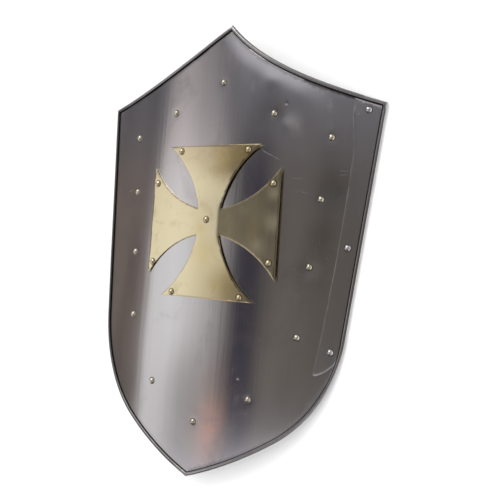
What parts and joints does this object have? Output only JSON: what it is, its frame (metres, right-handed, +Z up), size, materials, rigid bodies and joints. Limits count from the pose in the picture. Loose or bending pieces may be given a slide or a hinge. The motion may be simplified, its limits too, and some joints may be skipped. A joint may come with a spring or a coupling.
{
  "type": "knight shield",
  "caption": "Curved steel heater shield with a peaked top, a rolled edge, a riveted brass cross on its front and a narrow riveted strip down one side.",
  "frame": {"origin": "centre of the bounding box at its bottom, on the surface the shield lies on", "axes": "+Y towards the peaked top, +Z up out of the front face, +X towards the side with the strip; the shield lies hollow side down on its rim"},
  "size_m": [0.4738, 0.6598, 0.0563],
  "materials": {
    "steel": "polished by hand, worn",
    "strip_steel": "polished by hand, worn",
    "brass": "polished, slightly tarnished"
  },
  "bodies": {
    "root": {"plate": "steel", "side_strip": "strip_steel", "cross": "brass", "field_rivet_01": "brass", "field_rivet_02": "brass", "field_rivet_03": "brass", "field_rivet_04": "brass", "field_rivet_05": "brass", "field_rivet_06": "brass", "field_rivet_07": "brass", "field_rivet_08": "brass", "field_rivet_09": "brass", "field_rivet_10": "brass", "field_rivet_11": "brass", "field_rivet_12": "brass", "field_rivet_13": "brass", "field_rivet_14": "brass", "cross_rivet_01": "brass", "cross_rivet_02": "brass", "cross_rivet_03": "brass", "cross_rivet_04": "brass", "cross_rivet_05": "brass", "cross_rivet_06": "brass", "cross_rivet_07": "brass", "cross_rivet_08": "brass", "cross_rivet_09": "brass", "strip_rivet_01": "strip_steel", "strip_rivet_02": "strip_steel", "strip_rivet_03": "strip_steel"}
  },
  "joints": []
}
